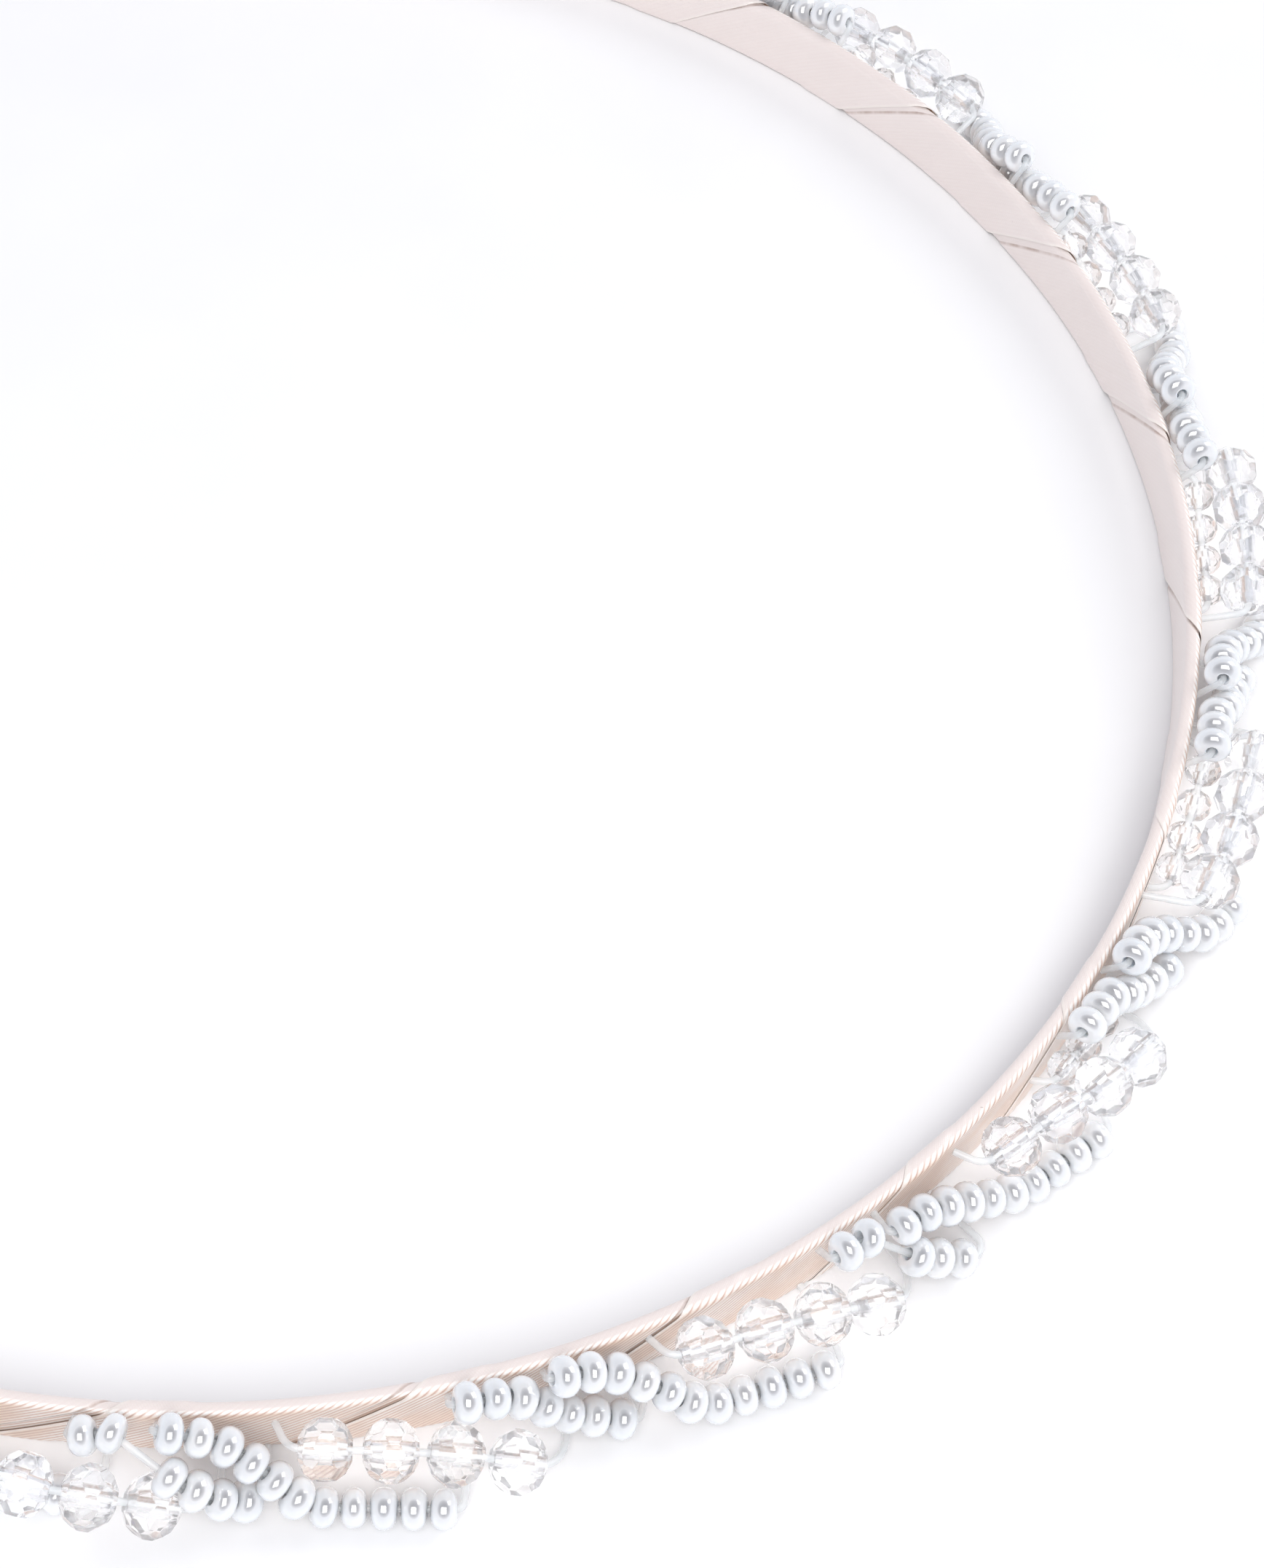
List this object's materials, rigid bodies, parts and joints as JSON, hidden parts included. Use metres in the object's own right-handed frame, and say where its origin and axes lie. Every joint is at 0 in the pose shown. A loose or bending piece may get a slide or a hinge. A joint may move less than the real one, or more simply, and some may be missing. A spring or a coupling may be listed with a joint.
{
  "type": "headband",
  "caption": "Slim spring hair band wrapped in satin ribbon, with a garland of glass crystals and pearl seed beads strung on clear thread along the outside of its crown.",
  "frame": {"origin": "middle of the whole object's bounding box, on the plane of the lower long edge that the band rests on", "axes": "+Z across the band's width, up from the table; the crown points to -Y and the two free ends to +Y; +X to the side where the unit numbers run up"},
  "size_m": [0.1526, 0.1596, 0.0082],
  "materials": {
    "ribbon": "blush satin ribbon with a fine cross rib",
    "spring_steel": "plain flat spring steel",
    "crystal": "clear cut glass with polished facets",
    "pearl": "milky glass with a pearl lustre",
    "clear_thread": "clear nylon line"
  },
  "bodies": {
    "root": {"crystal_row_01": "crystal", "crystal_row_02": "crystal", "crystal_row_03": "crystal", "crystal_row_04": "crystal", "crystal_row_05": "crystal", "crystal_row_06": "crystal", "crystal_row_07": "crystal", "crystal_row_08": "crystal", "crystal_row_09": "crystal", "crystal_row_10": "crystal", "crystal_row_11": "crystal", "crystal_threads": "clear_thread", "lower_pearl_row_01": "pearl", "lower_pearl_row_02": "pearl", "lower_pearl_row_03": "pearl", "lower_pearl_row_04": "pearl", "lower_pearl_row_05": "pearl", "lower_pearl_row_06": "pearl", "lower_pearl_row_07": "pearl", "lower_pearl_row_08": "pearl", "lower_pearl_row_09": "pearl", "lower_pearl_row_10": "pearl", "lower_pearl_row_11": "pearl", "lower_pearl_threads": "clear_thread", "ribbon_wrap": "ribbon", "small_crystal_row_05": "crystal", "small_crystal_row_06": "crystal", "small_crystal_row_07": "crystal", "small_crystal_row_08": "crystal", "small_crystal_row_09": "crystal", "small_crystal_row_10": "crystal", "small_crystal_row_11": "crystal", "small_crystal_threads": "clear_thread", "spring_core": "spring_steel", "tip_cover_left": "ribbon", "tip_cover_right": "ribbon", "upper_pearl_row_01": "pearl", "upper_pearl_row_02": "pearl", "upper_pearl_row_03": "pearl", "upper_pearl_row_04": "pearl", "upper_pearl_row_05": "pearl", "upper_pearl_row_06": "pearl", "upper_pearl_row_07": "pearl", "upper_pearl_row_08": "pearl", "upper_pearl_row_09": "pearl", "upper_pearl_row_10": "pearl", "upper_pearl_row_11": "pearl", "upper_pearl_threads": "clear_thread"}
  },
  "joints": []
}
